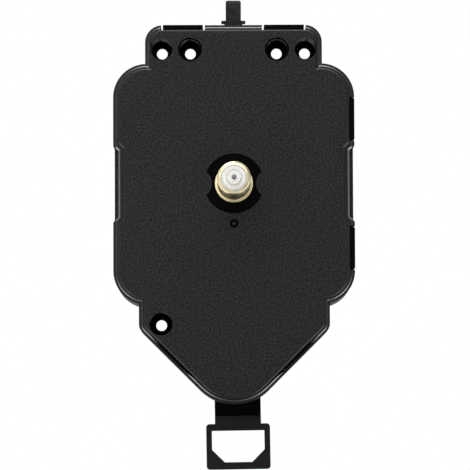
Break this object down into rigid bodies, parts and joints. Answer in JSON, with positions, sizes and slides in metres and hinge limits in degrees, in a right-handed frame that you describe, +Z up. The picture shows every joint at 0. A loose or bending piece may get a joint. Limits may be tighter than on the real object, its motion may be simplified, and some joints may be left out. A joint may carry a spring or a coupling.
{
  "type": "quartz clock movement",
  "caption": "Black quartz clock movement with a threaded brass hand shaft, a rear battery bay, a setting knob and a swinging pendulum arm with a hook frame below.",
  "frame": {"origin": "on the hand shaft's axis, in the plane of the front face", "axes": "+X to the right and +Z up as seen from the front, +Y back into the case; the hand shaft points along -Y"},
  "size_m": [0.056, 0.04, 0.1099],
  "materials": {
    "textured_case_plastic": "spark-eroded black moulding",
    "knob_plastic": "satin black moulding",
    "arm_plastic": "satin black moulding",
    "hook_plastic": "satin black moulding",
    "bushing_brass": "bright turned brass",
    "white_acetal": "natural white moulding",
    "bridge_plastic": "natural moulding",
    "spring_steel": "nickel-plated sheet",
    "pin_steel": "polished steel",
    "core_steel": "blanked electrical steel",
    "magnet": "bonded magnet",
    "copper_wire": "enamelled copper wire",
    "board_laminate": "solder-masked laminate",
    "black_resin": "cast resin",
    "crystal_can": "drawn can"
  },
  "bodies": {
    "case": {"front_cover": "textured_case_plastic", "rear_case": "textured_case_plastic", "threaded_bushing": "bushing_brass", "stator": "core_steel", "motor_core": "core_steel", "motor_bobbin": "white_acetal", "motor_coil": "copper_wire", "train_bridge": "bridge_plastic", "bridge_screws": "pin_steel", "circuit_board": "board_laminate", "chip_resin": "black_resin", "quartz_crystal": "crystal_can", "positive_contact": "spring_steel", "negative_contact": "spring_steel", "pivot_pin": "pin_steel", "pivot_clip": "spring_steel", "drive_bobbin": "white_acetal", "drive_coil": "copper_wire", "hanging_hook": "hook_plastic"},
    "second_shaft": {"second_wheel": "white_acetal", "second_pin": "pin_steel"},
    "intermediate": {"intermediate_wheel": "white_acetal"},
    "rotor": {"rotor_pinion": "white_acetal", "rotor_magnet": "magnet"},
    "third": {"third_wheel": "white_acetal"},
    "centre": {"centre_wheel": "white_acetal"},
    "minute_shaft": {"minute_arbor": "white_acetal", "clutch_spring": "spring_steel"},
    "motion": {"motion_wheel": "white_acetal"},
    "hour_shaft": {"hour_wheel": "white_acetal"},
    "setting": {"setting_gear": "white_acetal", "setting_knob": "knob_plastic"},
    "pendulum": {"pendulum_arm": "arm_plastic", "drive_magnet": "magnet"}
  },
  "joints": [
    {"name": "pendulum_swing", "type": "hinge", "parent": "case", "child": "pendulum", "pos_m": [0, 0, 0.0042], "axis": [0, 1, 0], "range_deg": [-4.25, 5.75]},
    {"name": "second_spin", "type": "hinge", "parent": "case", "child": "second_shaft", "pos_m": [0, 0, 0], "axis": [0, 1, 0], "continuous": true},
    {"name": "intermediate_spin", "type": "hinge", "parent": "case", "child": "intermediate", "pos_m": [0.00368, 0, -0.00788], "axis": [0, 1, 0], "continuous": true},
    {"name": "rotor_spin", "type": "hinge", "parent": "case", "child": "rotor", "pos_m": [0.00234, 0, -0.01547], "axis": [0, 1, 0], "continuous": true},
    {"name": "third_spin", "type": "hinge", "parent": "case", "child": "third", "pos_m": [-0.00643, 0, -0.0054], "axis": [0, 1, 0], "continuous": true},
    {"name": "centre_spin", "type": "hinge", "parent": "case", "child": "centre", "pos_m": [0, 0, 0], "axis": [0, 1, 0], "continuous": true},
    {"name": "minute_spin", "type": "hinge", "parent": "case", "child": "minute_shaft", "pos_m": [0, 0, 0], "axis": [0, 1, 0], "continuous": true},
    {"name": "motion_spin", "type": "hinge", "parent": "case", "child": "motion", "pos_m": [0.00713, 0, -0.00499], "axis": [0, 1, 0], "continuous": true},
    {"name": "hour_spin", "type": "hinge", "parent": "case", "child": "hour_shaft", "pos_m": [0, 0, 0], "axis": [0, 1, 0], "continuous": true},
    {"name": "setting_spin", "type": "hinge", "parent": "case", "child": "setting", "pos_m": [0.01579, 0, -0.00999], "axis": [0, 1, 0], "continuous": true}
  ],
  "couplings": [
    {"joint": "intermediate_spin", "follows": "second_spin", "ratio": -5},
    {"joint": "rotor_spin", "follows": "second_spin", "ratio": 30},
    {"joint": "third_spin", "follows": "second_spin", "ratio": -0.125},
    {"joint": "centre_spin", "follows": "second_spin", "ratio": 0.016667},
    {"joint": "motion_spin", "follows": "minute_spin", "ratio": -0.33333},
    {"joint": "hour_spin", "follows": "minute_spin", "ratio": 0.083333},
    {"joint": "setting_spin", "follows": "minute_spin", "ratio": 0.625}
  ]
}
